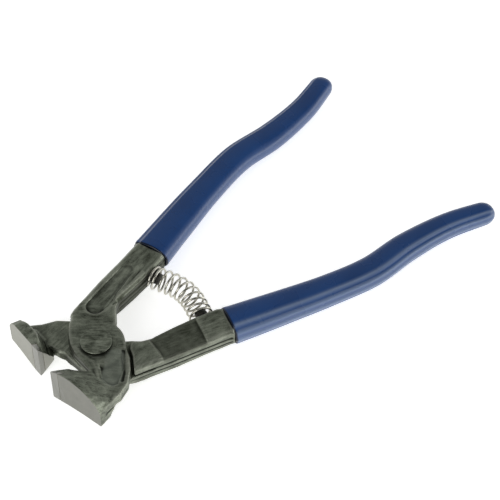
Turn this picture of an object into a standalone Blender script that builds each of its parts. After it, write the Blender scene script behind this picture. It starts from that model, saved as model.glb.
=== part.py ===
"""Tile nippers with carbide tips, a riveted lap joint, a bowed return spring and dipped grips.

Frame: the origin is on the pivot axis, on the rivet head's flat top. +X points along the tool to the
handles, +Z is the pivot axis and points out of the rivet head, and +Y is the side of the front half's arm.

The pieces are drawn with z = 0 between the two lap plates, and add_piece lowers them to the frame. Both
halves are drawn in the front half's stance: the lap plate above z = 0, the arm at +Y and the jaw at -Y.
The rear half is then turned half a turn about X, which puts its plate below and its arm at -Y.
Lengths are written in millimetres and scaled to metres when a mesh is made.
"""

import math

import bmesh
import bpy
from mathutils import Matrix, Vector

MM = 0.001
CLEAR_OF_ALL = 20.0  # how far a cutter reaches past the tool's faces

# Lap joint and rivet
LAP_GAP = 0.3
HUB_TOP = 5.6
HUB_RADIUS = 11.8
SHOULDER_RADIUS = 13.8
RIVET_SHANK = 3.6
RIVET_BORE = 3.7
RIVET_HEAD_RADIUS = 6.6
RIVET_HEAD_RISE = 1.4
RIVET_HEAD_FLAT = 4.8
RIVET_HEAD_CROWN = 0.15
RIVET_SEAT_GAP = 0.15
RIVET_TOP = HUB_TOP + RIVET_SEAT_GAP + RIVET_HEAD_RISE + RIVET_HEAD_CROWN
RIVET_TAIL_RADIUS = 5.6

# Arms and handles
ARM_HALF_THICK = 4.6
ARM_HEADING = (1.0, 0.27)
ARM_CHAMFER = 1.2
HUB_CHAMFER = 0.9
RECESS_DEPTH = 1.5
PANEL_DEPTH = 1.1
WAIST_DEPTH = 0.8
GRIP_START = 48.7
GRIP_WALL = 1.5
GRIP_CLEARANCE = 0.15
TANG_CHAMFER = 1.7
HANDLE_END = 176.9
TANG_END = 171.0

# Jaws
EDGE_RADIUS = 23.9
TIP_FACE = 4.0
TIP_DEPTH = 2.4
BRAZE = 0.25
SEAM_GAP = 0.05
CORNER_REACH = 4.0

# Return spring
SPRING_WIRE = 1.0
SPRING_DIAMETER = 10.6
SPRING_TURNS = 11
SPRING_END_Y = 14.9
SPRING_FRONT_X = 42.0
SPRING_REAR_X = 43.4
SPRING_BOW = 4.0
PEG_SEAT_Y = 16.2
PEG_RADIUS = 2.7
PEG_LENGTH = 4.4
PEG_DEPTH = 3.0
PEG_HEADING = (0.25, -0.97, 0.0)
PEG_FIT = 0.1

# The handle's centreline: a gentle S that runs straight, turns along the tool, then flares out.
HANDLE_LINE = (
    (48.7, 25.4),
    (70.0, 32.1),
    (91.4, 38.4),
    (112.8, 43.2),
    (134.1, 43.5),
    (155.5, 46.5),
    (176.9, 53.5),
)

# The arm between hub and grip: (x, inner y, outer y, top z)
ARM_SIDES = (
    (3.0, 3.0, 20.2, 5.5),
    (9.0, 5.6, 21.8, 5.5),
    (13.5, 9.4, 23.0, 5.5),
    (17.5, 11.2, 24.2, 5.5),
    (22.5, 11.8, 25.6, 5.45),
    (30.0, 13.1, 27.5, 5.2),
    (38.0, 14.7, 29.6, 4.8),
    (47.0, 16.9, 32.0, 4.6),
)

# Grip section along the handle: (x, half width, half thickness)
GRIP_SIZES = (
    (48.7, 8.9, 6.1),
    (70.0, 8.2, 5.6),
    (91.4, 7.5, 5.2),
    (112.8, 7.3, 5.1),
    (134.1, 6.9, 5.0),
    (155.5, 6.4, 4.8),
    (176.9, 6.2, 4.6),
)


def lerp(a, b, t):
    return a + (b - a) * t


def table_value(rows, x, column):
    """The value of a table's column at x, straight between its rows."""
    if x <= rows[0][0]:
        return rows[0][column]
    for low, high in zip(rows, rows[1:]):
        if x <= high[0]:
            return lerp(low[column], high[column], (x - low[0]) / (high[0] - low[0]))
    return rows[-1][column]


def curve_y(x):
    """The handle centreline's y at x: a Catmull-Rom curve through HANDLE_LINE."""
    pts = HANDLE_LINE
    i = 0
    while i < len(pts) - 2 and x > pts[i + 1][0]:
        i += 1
    before = pts[i - 1] if i > 0 else (2 * pts[0][0] - pts[1][0], 2 * pts[0][1] - pts[1][1])
    last = len(pts) - 1
    after = pts[i + 2] if i + 2 <= last else (2 * pts[last][0] - pts[i][0], 2 * pts[last][1] - pts[i][1])
    t = (x - pts[i][0]) / (pts[i + 1][0] - pts[i][0])
    a, b, c, d = before[1], pts[i][1], pts[i + 1][1], after[1]
    cubic = 3 * b - a - 3 * c + d
    square = 2 * a - 5 * b + 4 * c - d
    return 0.5 * (2 * b + (c - a) * t + square * t**2 + cubic * t**3)


def handle_direction(x):
    return Vector((1.0, curve_y(x + 0.5) - curve_y(x - 0.5))).normalized()


# ---------------------------------------------------------------- mesh helpers


def remove_all_objects():
    for obj in list(bpy.data.objects):
        bpy.data.objects.remove(obj)


def steel_material(name, color, roughness, metallic):
    mat = bpy.data.materials.new(name)
    mat.use_nodes = True
    shader = mat.node_tree.nodes["Principled BSDF"]
    shader.inputs["Base Color"].default_value = (*color, 1.0)
    shader.inputs["Roughness"].default_value = roughness
    shader.inputs["Metallic"].default_value = metallic
    mat.diffuse_color = (*color, 1.0)
    return mat


def new_object(name, bm):
    """An object in metres from a bmesh drawn in millimetres."""
    bmesh.ops.recalc_face_normals(bm, faces=bm.faces)
    bmesh.ops.transform(bm, matrix=Matrix.Scale(MM, 4), verts=bm.verts)
    mesh = bpy.data.meshes.new(name)
    bm.to_mesh(mesh)
    bm.free()
    obj = bpy.data.objects.new(name, mesh)
    bpy.context.scene.collection.objects.link(obj)
    return obj


def boolean(target, tool, operation):
    """Applies a Boolean to target and removes the tool."""
    modifier = target.modifiers.new(operation.lower(), "BOOLEAN")
    modifier.operation = operation
    modifier.object = tool
    modifier.solver = "EXACT"
    bpy.context.view_layer.update()
    evaluated = target.evaluated_get(bpy.context.evaluated_depsgraph_get())
    mesh = bpy.data.meshes.new_from_object(evaluated)
    target.modifiers.clear()
    target.data = mesh
    bpy.data.objects.remove(tool)


def loft(rings):
    """A closed solid through rings of equal length, each a list of 3-D points."""
    bm = bmesh.new()
    loops = [[bm.verts.new(p) for p in ring] for ring in rings]
    count = len(rings[0])
    for low, high in zip(loops, loops[1:]):
        for i in range(count):
            j = (i + 1) % count
            bm.faces.new((low[i], low[j], high[j], high[i]))
    bm.faces.new(loops[0][::-1])
    bm.faces.new(loops[-1])
    return bm


def prism(outline, low, high):
    """The plan outline (x, y) extruded from z = low to z = high."""
    return loft([[(x, y, low) for x, y in outline], [(x, y, high) for x, y in outline]])


def chamfered_prism(outline, low, high, chamfer, bottom=False):
    """A prism with its top edge, and if asked its bottom edge, rounded over."""
    bm = prism(outline, low, high)
    edges = [e for e in bm.edges if all(abs(v.co.z - high) < 1e-6 for v in e.verts)]
    if bottom:
        edges += [e for e in bm.edges if all(abs(v.co.z - low) < 1e-6 for v in e.verts)]
    bmesh.ops.bevel(bm, geom=edges, offset=chamfer, segments=2, profile=0.5, affect="EDGES")
    return bm


def arc(centre, radius, start, end, steps):
    """Points on an arc, with angles in degrees."""
    angles = [math.radians(lerp(start, end, i / steps)) for i in range(steps + 1)]
    return [(centre[0] + radius * math.cos(a), centre[1] + radius * math.sin(a)) for a in angles]


def cylinder(radius, low, high, centre=(0.0, 0.0), steps=48):
    return prism(arc(centre, radius, 0, 360 - 360 / steps, steps - 1), low, high)


def turned(profile, steps=48):
    """A solid turned about the pivot axis from (radius, z) points, bottom to top, off the axis."""
    angles = [math.tau * k / steps for k in range(steps)]
    return loft([[(r * math.cos(a), r * math.sin(a), z) for a in angles] for r, z in profile])


# ---------------------------------------------------------------- the two forgings


class Jaw:
    """One jaw in the front half's stance.

    edge and outer are the plan ends of the ground front face. top and bottom give the face's height
    above and below z = 0 at shares of its length. inner is the plan direction of the relieved inner
    face, lean the same relief per millimetre of depth, and outer_depth the block's depth at its far end.
    """

    def __init__(self, edge_y, outer, top, bottom, inner, lean, outer_depth):
        self.edge = Vector((-math.sqrt(EDGE_RADIUS**2 - edge_y**2), edge_y))
        self.outer = Vector(outer)
        self.top = top
        self.bottom = bottom
        self.inner = Vector(inner).normalized()
        self.lean = lean
        self.outer_depth = outer_depth
        self.length = (self.outer - self.edge).length
        self.along = (self.outer - self.edge).normalized()
        self.back = Vector((-self.along.y, self.along.x))

    def plan(self, depth, travel):
        """The plan point at a depth behind the face and a travel along it from the edge."""
        return self.edge + self.back * depth + self.along * travel


FRONT_JAW = Jaw(
    edge_y=-1.0,
    outer=(-19.9, -27.6),
    top=(
        (0.0, 8.5),
        (0.12, 10.3),
        (0.27, 11.5),
        (0.46, 12.0),
        (0.64, 11.2),
        (0.8, 9.4),
        (0.92, 6.9),
        (1.0, 3.6),
    ),
    bottom=((0.0, -8.5), (0.15, -7.7), (0.37, -6.5), (0.6, -5.6), (1.0, -4.9)),
    inner=(8.4, -3.0),
    lean=0.42,
    outer_depth=13.0,
)
REAR_JAW = Jaw(
    edge_y=-10.6,
    outer=(-20.7, -31.1),
    top=((0.0, 8.5), (0.2, 8.4), (0.35, 7.6), (0.55, 6.3), (0.75, 5.2), (1.0, 4.4)),
    bottom=((0.0, -8.5), (0.3, -8.6), (0.8, -9.0), (0.93, -7.6), (1.0, -5.0)),
    inner=(8.4, -1.2),
    lean=0.16,
    outer_depth=6.4,
)

JAW_STATIONS = (0.0, 0.1, 0.2, 0.31, 0.42, 0.52, 0.62, 0.71, 0.8, 0.86, 0.92, 0.96, 1.0)
FULL_BLOCK_AT = 0.42
OUTER_END_FROM = 0.71
OUTER_END_AT = 0.86
INNER_DEPTH = 7.6
BLOCK_DEPTH = 13.0


def jaw_section(jaw, share):
    """The jaw block's section at a share of the face's length, as (depth, z) points."""
    top = table_value(jaw.top, share, 1)
    bottom = table_value(jaw.bottom, share, 1)
    full = min(1.0, share / FULL_BLOCK_AT)
    ending = min(1.0, max(0.0, (share - OUTER_END_FROM) / (OUTER_END_AT - OUTER_END_FROM)))
    depth = lerp(lerp(INNER_DEPTH, BLOCK_DEPTH, full), jaw.outer_depth, ending)
    shorter = depth / lerp(INNER_DEPTH, BLOCK_DEPTH, full)
    plate = HUB_TOP - 0.4
    return [
        (0.0, top),
        (depth * 0.45, lerp(top, plate, 0.4)),
        (depth, plate),
        (depth, lerp(3.8, 0.6, full)),
        (lerp(6.4, 10.0, full) * lerp(1.0, shorter, 0.9), lerp(1.6, 0.6, full)),
        (lerp(5.2, 7.6, full) * lerp(1.0, shorter, 0.6), lerp(-0.2, -1.4, full)),
        (lerp(3.4, 5.4, full) * lerp(1.0, shorter, 0.3), lerp(-3.0, 0.84 * bottom, full)),
        (0.0, bottom),
    ]


def jaw_block(jaw):
    rings = []
    for share in JAW_STATIONS:
        lean = jaw.lean * max(0.0, 1.0 - share / FULL_BLOCK_AT)
        ring = []
        for depth, z in jaw_section(jaw, share):
            x, y = jaw.plan(depth, share * jaw.length + lean * depth)
            ring.append((x, y, z))
        rings.append(ring)
    return loft(rings)


def hub_outline(jaw):
    """The lap plate: the jaw's neck, the flat left side, the side facing the arm and the round hub."""
    neck = [
        tuple(jaw.plan(6.5, 0.97 * jaw.length)),
        (-8.4, -26.2),
        (-2.6, -23.8),
        (2.8, -18.6),
        (6.1, -14.0),
    ]
    hub = arc((0.0, 0.0), HUB_RADIUS, -50, 14, 8)
    throat = [(14.4, 5.4), (17.0, 8.8), (20.5, 11.4)]
    under_arm = [(19.5, 17.0), (14.0, 22.4), (7.0, 20.7), (1.8, 18.7), (-2.4, 15.2)]
    left = [(-6.1, 10.8), (-8.6, 6.4), (-9.7, 2.0), (-9.9, -3.0), (-9.9, -8.6)]
    into_jaw = [(-11.6, -10.4), tuple(jaw.plan(6.5, 0.55 * jaw.length))]
    return neck + hub + throat + under_arm + left + into_jaw


def arm_ring(centre, direction, half_width, low, high, chamfer):
    """An eight-sided arm section across a plan direction."""
    side = Vector((-direction.y, direction.x))
    w, c = half_width, chamfer
    inner_side = [(-w + c, low), (-w, low + c), (-w, high - c), (-w + c, high)]
    outer_side = [(w - c, high), (w, high - c), (w, low + c), (w - c, low)]
    return [(*(centre + side * u), z) for u, z in inner_side + outer_side]


def arm_and_tang():
    """The arm from the lap joint to the grip, and the tang that tapers away inside the grip."""
    rings = []
    for x, inner, outer, top in ARM_SIDES:
        direction = Vector(ARM_HEADING).normalized()
        centre = Vector((x, (inner + outer) / 2))
        half_width = (outer - inner) / 2 * direction.x
        rings.append(arm_ring(centre, direction, half_width, -ARM_HALF_THICK, top, ARM_CHAMFER))
    return loft(rings + tang_rings(GRIP_START, TANG_END, 0.0))


def tang_rings(first, last, grow, steps=14):
    """The tang's sections inside the grip, or with grow the hollow that the grip leaves for it."""
    rings = []
    for i in range(steps + 1):
        x = lerp(first, last, i / steps)
        width = table_value(GRIP_SIZES, x, 1) - GRIP_WALL + grow
        thick = table_value(GRIP_SIZES, x, 2) - GRIP_WALL + grow
        centre = Vector((x, curve_y(x)))
        rings.append(arm_ring(centre, handle_direction(x), width, -thick, thick, TANG_CHAMFER + grow))
    return rings


def capsule(start, start_radius, end, end_radius):
    """A tapered slot outline with round ends, in plan."""
    a, b = Vector(start), Vector(end)
    heading = math.degrees(math.atan2(b.y - a.y, b.x - a.x))
    near_end = arc(a, start_radius, heading + 90, heading + 270, 8)
    far_end = arc(b, end_radius, heading - 90, heading + 90, 8)
    return near_end + far_end


def forged_half(name, jaw, peg_x):
    half = new_object(name, chamfered_prism(hub_outline(jaw), LAP_GAP / 2, HUB_TOP, HUB_CHAMFER))
    arm = new_object("arm_tool", arm_and_tang())
    shoulder = new_object("shoulder_tool", shoulder_cutter())
    boolean(arm, shoulder, "DIFFERENCE")
    boolean(half, arm, "UNION")
    boolean(half, new_object("block_tool", jaw_block(jaw)), "UNION")
    boolean(half, new_object("bore_tool", cylinder(RIVET_BORE, -1.0, CLEAR_OF_ALL)), "DIFFERENCE")
    recess = capsule((11.6, 15.4), 4.2, (34.4, 22.4), 3.0)
    pockets = [
        (recess, HUB_TOP - RECESS_DEPTH, CLEAR_OF_ALL),
        (neck_panel(), HUB_TOP - PANEL_DEPTH, CLEAR_OF_ALL),
        (waist_panel(), -CLEAR_OF_ALL, WAIST_DEPTH - ARM_HALF_THICK),
    ]
    for outline, low, high in pockets:
        boolean(half, new_object("pocket_tool", prism(outline, low, high)), "DIFFERENCE")
    seat = edge_corner(jaw, TIP_DEPTH + BRAZE, TIP_FACE + BRAZE)
    boolean(half, new_object("seat_tool", seat), "DIFFERENCE")
    boolean(half, new_object("peg_tool", peg_solid(peg_x, PEG_FIT)), "DIFFERENCE")
    return half


def shoulder_cutter():
    """Clears the arm's lower half off the lap: a round shoulder, with a straight side past it."""
    far = 40.0
    round_part = arc((0.0, 0.0), SHOULDER_RADIUS, -20, 49, 12)
    straight_part = [(7.6, 13.9), (4.4, 18.7), (0.6, 24.1), (-2.0, 28.0)]
    outline = round_part + straight_part + [(-far, far), (-far, -far), (8.0, -far)]
    return prism(outline, -CLEAR_OF_ALL, LAP_GAP / 2)


def neck_panel():
    """The sunk panel on the plate between the rivet head and the jaw."""
    below_head = arc((0.0, 0.0), 7.6, -62, -120, 8)
    left = [(-5.8, -9.0), (-9.0, -15.2), (-9.2, -19.0), (-8.2, -21.0)]
    right = [(-6.0, -21.6), (0.9, -16.6), (5.0, -10.0)]
    return below_head + left + right


def waist_panel():
    """The milled flat across the arm's inner side, between the shoulder pad and the grip."""
    return [(17.6, 12.0), (16.8, 19.6), (15.0, 27.0), (32.6, 35.0), (36.4, 24.6), (39.6, 14.0), (30.0, 8.0)]


def edge_corner(jaw, deep, wide):
    """A tall prism over the jaw's cutting corner: deep from the face inwards, wide along the face."""
    heel = jaw.edge + jaw.inner * deep + jaw.along * wide
    clear_inner = jaw.inner * (deep + CORNER_REACH)
    clear_along = jaw.along * (wide + CORNER_REACH)
    outline = [heel - clear_inner - clear_along, heel - clear_along, heel, heel - clear_inner]
    return prism([tuple(p) for p in outline], -CLEAR_OF_ALL, CLEAR_OF_ALL)


def carbide_tip(name, jaw):
    """The corner of the jaw block that the cutting insert takes up, flush with the faces around it."""
    tip = new_object(name, jaw_block(jaw))
    boolean(tip, new_object("tip_tool", edge_corner(jaw, TIP_DEPTH, TIP_FACE)), "INTERSECT")
    return tip


def braze_seam(name, jaw):
    """The L of filler metal behind and beside the tip, flush with the jaw block around it."""
    d, f = jaw.inner, jaw.along
    near, far = SEAM_GAP, BRAZE - SEAM_GAP
    e = jaw.edge
    outline = [
        e + d * (TIP_DEPTH + near),
        e + d * (TIP_DEPTH + far),
        e + d * (TIP_DEPTH + far) + f * (TIP_FACE + far),
        e + f * (TIP_FACE + far),
        e + f * (TIP_FACE + near),
        e + d * (TIP_DEPTH + near) + f * (TIP_FACE + near),
    ]
    seam = new_object(name, jaw_block(jaw))
    strip = prism([tuple(p) for p in outline], -CLEAR_OF_ALL, CLEAR_OF_ALL)
    boolean(seam, new_object("seam_tool", strip), "INTERSECT")
    return seam


# ---------------------------------------------------------------- rivet, grips, spring and pegs


def pivot_rivet():
    seat = HUB_TOP + RIVET_SEAT_GAP
    head = seat + RIVET_HEAD_RISE
    r = RIVET_HEAD_RADIUS
    tail = RIVET_TAIL_RADIUS
    profile = [
        (tail * 0.7, -seat - 1.1),
        (tail, -seat - 0.6),
        (tail, -seat),
        (RIVET_SHANK, -seat),
        (RIVET_SHANK, seat),
        (r, seat),
        (r, head - 0.35),
        (r - 0.5, head),
        (RIVET_HEAD_FLAT, RIVET_TOP),
    ]
    return new_object("pivot_rivet", turned(profile))


def grip_ring(x, half_width, half_thick, steps=20):
    """A rounded section across the handle, fuller than an ellipse."""
    direction = handle_direction(x)
    side = Vector((-direction.y, direction.x))
    centre = Vector((x, curve_y(x)))
    ring = []
    for k in range(steps):
        a = math.tau * k / steps
        c, s = math.cos(a), math.sin(a)
        u = half_width * math.copysign(abs(c) ** 0.85, c)
        z = half_thick * math.copysign(abs(s) ** 0.85, s)
        ring.append((*(centre + side * u), z))
    return ring


def grip_sleeve(name):
    """A dipped sleeve: round end, hollow for the tang and open at its mouth."""
    rings = []
    steps = 20
    for i in range(steps + 1):
        x = lerp(GRIP_START, HANDLE_END - 4.0, i / steps)
        rings.append(grip_ring(x, table_value(GRIP_SIZES, x, 1), table_value(GRIP_SIZES, x, 2)))
    for back, scale in ((2.4, 0.93), (1.0, 0.78), (0.2, 0.52), (0.0, 0.2)):
        x = HANDLE_END - back
        rings.append(grip_ring(x, table_value(GRIP_SIZES, x, 1) * scale, table_value(GRIP_SIZES, x, 2) * scale))
    sleeve = new_object(name, loft(rings))
    hollow = tang_rings(GRIP_START - 2.0, GRIP_START, GRIP_CLEARANCE, 2)[:-1]
    hollow += tang_rings(GRIP_START, TANG_END + 0.4, GRIP_CLEARANCE)
    boolean(sleeve, new_object("hollow_tool", loft(hollow)), "DIFFERENCE")
    return sleeve


def spring_axis(t):
    """The bowed spring's centre at t from 0 (front arm) to 1 (rear arm), square to the arms at its ends."""
    hump = 4 * t * (1 - t)
    x = lerp(SPRING_FRONT_X, SPRING_REAR_X, t) + SPRING_BOW * hump * (0.6 + 0.4 * hump)
    return Vector((x, lerp(SPRING_END_Y, -SPRING_END_Y, t), 0.0))


def return_spring():
    """A coil of round wire wound along the bowed axis."""
    per_turn = 14
    count = SPRING_TURNS * per_turn
    radius = (SPRING_DIAMETER - SPRING_WIRE) / 2
    section = 6
    path = []
    for i in range(count + 1):
        t = i / count
        heading = (spring_axis(t + 0.01) - spring_axis(t - 0.01)).normalized()
        side = heading.cross(Vector((0, 0, 1)))
        a = math.tau * SPRING_TURNS * t
        path.append(spring_axis(t) + side * radius * math.cos(a) + Vector((0, 0, 1)) * radius * math.sin(a))
    rings = []
    for i in range(count + 1):
        tangent = (path[min(i + 1, count)] - path[max(i - 1, 0)]).normalized()
        out = (path[i] - spring_axis(i / count)).normalized()
        out = (out - tangent * out.dot(tangent)).normalized()
        across = tangent.cross(out)
        ring = []
        for k in range(section):
            a = math.tau * k / section
            ring.append(path[i] + (out * math.cos(a) + across * math.sin(a)) * SPRING_WIRE / 2)
        rings.append(ring)
    return new_object("return_spring", loft(rings))


def peg_solid(x, grow=0.0, steps=20):
    """A spring peg square to the arm's inner side at x; grow widens it into its hole."""
    heading = Vector(PEG_HEADING).normalized()
    across = heading.cross(Vector((0.0, 0.0, 1.0)))
    seat = Vector((x, PEG_SEAT_Y, 0.0))
    start = seat - heading * (PEG_DEPTH + grow)
    end = seat + heading * PEG_LENGTH
    radius = PEG_RADIUS + grow
    rings = []
    for point, r in ((start, radius), (end - heading * 0.6, radius), (end, radius - 0.6)):
        turns = [math.tau * k / steps for k in range(steps)]
        rings.append([point + across * r * math.cos(a) + Vector((0.0, 0.0, r * math.sin(a))) for a in turns])
    return loft(rings)


def add_piece(obj, material):
    """Gives a finished piece its material and lowers it from the lap plane to the frame's origin."""
    obj.data.transform(Matrix.Translation((0.0, 0.0, -RIVET_TOP * MM)))
    obj.data.materials.clear()
    obj.data.materials.append(material)
    obj.data.shade_smooth()
    obj.data.set_sharp_from_angle(angle=math.radians(30))


def turned_over(obj):
    """Turns a finished front-stance piece over into the rear half's stance."""
    obj.data.transform(Matrix.Rotation(math.pi, 4, "X"))
    return obj


def build():
    remove_all_objects()
    steel = steel_material("forged_steel", (0.085, 0.095, 0.075), 0.45, 0.85)
    carbide = steel_material("carbide", (0.42, 0.42, 0.39), 0.32, 0.9)
    brass = steel_material("braze_metal", (0.55, 0.42, 0.18), 0.35, 1.0)
    rivet_steel = steel_material("rivet_steel", (0.13, 0.145, 0.12), 0.4, 0.9)
    blue = steel_material("blue_plastisol", (0.012, 0.05, 0.21), 0.25, 0.0)
    wire = steel_material("spring_wire", (0.62, 0.6, 0.52), 0.25, 1.0)
    peg_steel = steel_material("peg_steel", (0.05, 0.05, 0.045), 0.5, 0.8)

    add_piece(forged_half("front_half", FRONT_JAW, SPRING_FRONT_X), steel)
    add_piece(carbide_tip("front_tip", FRONT_JAW), carbide)
    add_piece(braze_seam("front_braze", FRONT_JAW), brass)
    add_piece(grip_sleeve("front_grip"), blue)
    add_piece(new_object("front_spring_peg", peg_solid(SPRING_FRONT_X)), peg_steel)

    add_piece(turned_over(forged_half("rear_half", REAR_JAW, SPRING_REAR_X)), steel)
    add_piece(turned_over(carbide_tip("rear_tip", REAR_JAW)), carbide)
    add_piece(turned_over(braze_seam("rear_braze", REAR_JAW)), brass)
    add_piece(turned_over(grip_sleeve("rear_grip")), blue)
    add_piece(turned_over(new_object("rear_spring_peg", peg_solid(SPRING_REAR_X))), peg_steel)

    add_piece(pivot_rivet(), rivet_steel)
    add_piece(return_spring(), wire)


build()
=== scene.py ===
"""Tile nippers: the finished look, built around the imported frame.

The pieces are drawn in millimetres with z = 0 between the two lap plates, and placed lowers them to the
frame. Both forgings are worked in the front half's stance: plate above z = 0, arm at +Y, jaw at -Y. The
rear half is the same stance turned half a turn about X.
"""

import math

import bmesh
import bpy
import numpy as np
from mathutils import Matrix, Vector, noise


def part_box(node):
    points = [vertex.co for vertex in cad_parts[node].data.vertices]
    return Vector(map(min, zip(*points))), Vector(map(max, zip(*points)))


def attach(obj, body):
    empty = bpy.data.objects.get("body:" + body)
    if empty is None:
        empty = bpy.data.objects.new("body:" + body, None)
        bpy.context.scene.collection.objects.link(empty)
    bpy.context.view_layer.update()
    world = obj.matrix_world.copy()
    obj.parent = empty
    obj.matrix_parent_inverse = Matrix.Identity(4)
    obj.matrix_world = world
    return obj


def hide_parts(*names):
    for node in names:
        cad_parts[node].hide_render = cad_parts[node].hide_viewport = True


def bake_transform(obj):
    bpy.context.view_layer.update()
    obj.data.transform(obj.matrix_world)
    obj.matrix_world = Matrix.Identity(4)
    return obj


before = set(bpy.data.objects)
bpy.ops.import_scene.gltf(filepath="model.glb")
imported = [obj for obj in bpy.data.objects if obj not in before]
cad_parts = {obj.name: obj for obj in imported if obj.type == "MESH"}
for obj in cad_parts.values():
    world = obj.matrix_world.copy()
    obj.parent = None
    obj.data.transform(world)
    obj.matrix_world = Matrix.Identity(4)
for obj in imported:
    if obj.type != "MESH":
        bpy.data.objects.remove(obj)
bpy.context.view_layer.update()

MM = 0.001
GRIP_LOW, GRIP_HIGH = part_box("front_grip")
LAP_PLANE = (GRIP_LOW.z + GRIP_HIGH.z) / 2  # the grips stand evenly about the lap plane

# Working the forgings
WELD_DISTANCE = 0.002
VOXEL = 0.3
RELAX = 0.5
FILLET_ROUNDS = 36
NORMALS_EVERY = 6
MELT_ROUNDS = 60
MELT_PULL = 0.6
MELT_CORE = 0.4
MELTED_SPOTS = (
    (18.6, 10.8, 4.6, 6.0),
    (0.6, 18.6, 3.6, 4.5),
)
WEAR_AND_SHADE_ROUNDS = 12
WEAR_AND_SHADE_GAIN = 3.6
SKIN_WAVE = 0.07

# Ground jaw faces, carbide tips and braze seams
SAME_WAY = 0.999
SAME_PLANE = 0.05
GROUND_ALLOWANCE = 1.2
GROUND_SLOT = 1
GRIND_DEPTH = 3.0
INNER_GRIND_DEPTH = 2.2
INNER_GRIND_REACH = 9.0
TIP_FACE = 4.0
TIP_DEPTH = 2.4
BRAZE = 0.25
SEAM_GAP = 0.05
CORNER_REACH = 14.0

# The die's relief, with its paths in plan in the front half's stance
HUB_TOP = 5.6
NECK_LEVEL = HUB_TOP - 0.05
RECESS_START = (11.6, 15.4)
RECESS_START_RADIUS = 4.2
RECESS_END = (34.4, 22.4)
RECESS_END_RADIUS = 3.0
RECESS_RAISE = 0.5
RECESS_BORDER = 0.12
ARM_RIDGE = ((20.0, 13.2), (27.1, 14.4), (32.3, 15.7), (38.0, 17.2))
ARM_HOLLOW = ((17.6, 11.4), (21.0, 12.0), (26.0, 12.9), (31.3, 14.1), (38.0, 15.8))
NECK_WALL = ((5.7, -10.3), (-0.9, -19.0), (-3.6, -21.2))
HUB_RIM = ((-7.6, 4.0), (-7.9, -1.0), (-6.9, -6.4), (-8.2, -10.4), (-10.4, -15.4))
RIM_HOLLOW = ((-7.4, -11.4), (-9.2, -14.8), (-9.6, -18.0))
RELIEF_LINES = (  # path, height and width: a hollow's height is negative
    (ARM_RIDGE, 0.32, 0.55),
    (ARM_HOLLOW, -0.3, 0.5),
    (NECK_WALL, -0.95, 0.85),
    (HUB_RIM, 0.22, 0.7),
    (RIM_HOLLOW, -0.35, 0.5),
)
ARM_PARTING_LINE = ((0.7, 0.26, 0.42), (1.9, -0.16, 0.6), (-0.6, -0.16, 0.6))  # z, height and width
HUB_PARTING_LINE = ((1.9, 0.22, 0.45), (3.1, -0.2, 0.6))
LAP_GROOVE = 0.55
TANG_SHRINK = 0.6
NECK_PANEL = ((-6.2, -17.6), (1.6, -10.6))
MILLED_START = ((17.4, 12.0), (15.4, 27.0))
MILLED_END = ((39.6, 14.0), (33.0, 34.0))

# Rivet and pegs
RIVET_SHANK_RADIUS = 3.6
RIVET_HEAD_RADIUS = 6.6
RIVET_TAIL_RADIUS = 5.6
RIVET_CROWN_RADIUS = 4.6
RIVET_CROWN_RINGS = 8
RIVET_EDGE = 0.22
RIVET_STEPS = 128
RIVET_DENTS = 0.05
RIVET_SEAT = HUB_TOP + 0.15
PEG_Y = 16.2
PEG_HEADING = (0.25, -0.97, 0.0)
PEG_OUTLINE = ((2.7, -3.0), (2.7, 2.6), (2.35, 3.1), (2.6, 3.5), (2.55, 4.1), (1.9, 4.4))
PEG_CROWN = 0.18
PEG_CROWN_RINGS = 6
PEG_EDGE = 0.25
PEG_STEPS = 48

# Dipped grips, with handle sections at a distance along X
GRIP_START = 48.7
HANDLE_END = 176.9
HOLLOW_SHRINK = 1.2
GRIP_SHRINK = 0.3
GRIP_STEPS = 72
GRIP_STATIONS = 130
GRIP_SQUARENESS = 0.88
GRIP_END = 5.4
GRIP_END_RINGS = 14
GRIP_END_ROUNDNESS = 0.75
HOLLOW_RINGS = (7.0, 1.2, 0.4)  # how far inside the mouth, from the deepest out
DARK_RINGS = 7  # the hollow's rings and the mouth's inner lip
MOUTH_RINGS = (  # how far past the mouth, and how much wider than the grip
    (0.05, -0.9),
    (0.0, -0.55),
    (0.12, -0.28),
    (0.4, -0.08),
    (0.9, 0.04),
    (1.6, 0.06),
    (2.6, 0.0),
)
SAG = 0.1
RIB_SPACING = 31.0  # degrees around the grip, from its outer side
RIB_EDGE = (56.0, 76.0)
CREST_EDGE = (64.0, 78.0)
RIB_HEIGHT = 0.2
RIB_FADE = 12.0
HANDLE_LINE = (  # x and y
    (48.7, 25.4),
    (70.0, 32.1),
    (91.4, 38.4),
    (112.8, 43.2),
    (134.1, 43.5),
    (155.5, 46.5),
    (176.9, 53.5),
)
GRIP_SIZES = (  # x, half width and half thickness
    (48.7, 8.9, 6.1),
    (70.0, 8.2, 5.6),
    (91.4, 7.5, 5.2),
    (112.8, 7.3, 5.1),
    (134.1, 6.9, 5.0),
    (155.5, 6.1, 4.7),
    (176.9, 5.6, 4.4),
)

# Return spring
SPRING_WIRE = 1.0
SPRING_DIAMETER = 10.6
SPRING_TURNS = 11
SPRING_DEAD_SHARE = 0.085
SPRING_CLOSED_SHARE = 0.04
SPRING_RUNS = 5
LEAST_FOLLOW = 0.004
WIRE_STEPS = 12
SPRING_END_Y = 14.9
SPRING_FRONT_X = 42.0
SPRING_REAR_X = 43.4
SPRING_BOW = 4.0


# ---------------------------------------------------------------- numbers and meshes


def lerp(a, b, t):
    return a + (b - a) * t


def smoothstep(low, high, x):
    t = np.clip((x - low) / (high - low), 0.0, 1.0)
    return t * t * (3 - 2 * t)


def bell(distance, width):
    return np.exp(-((distance / width) ** 2))


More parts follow.
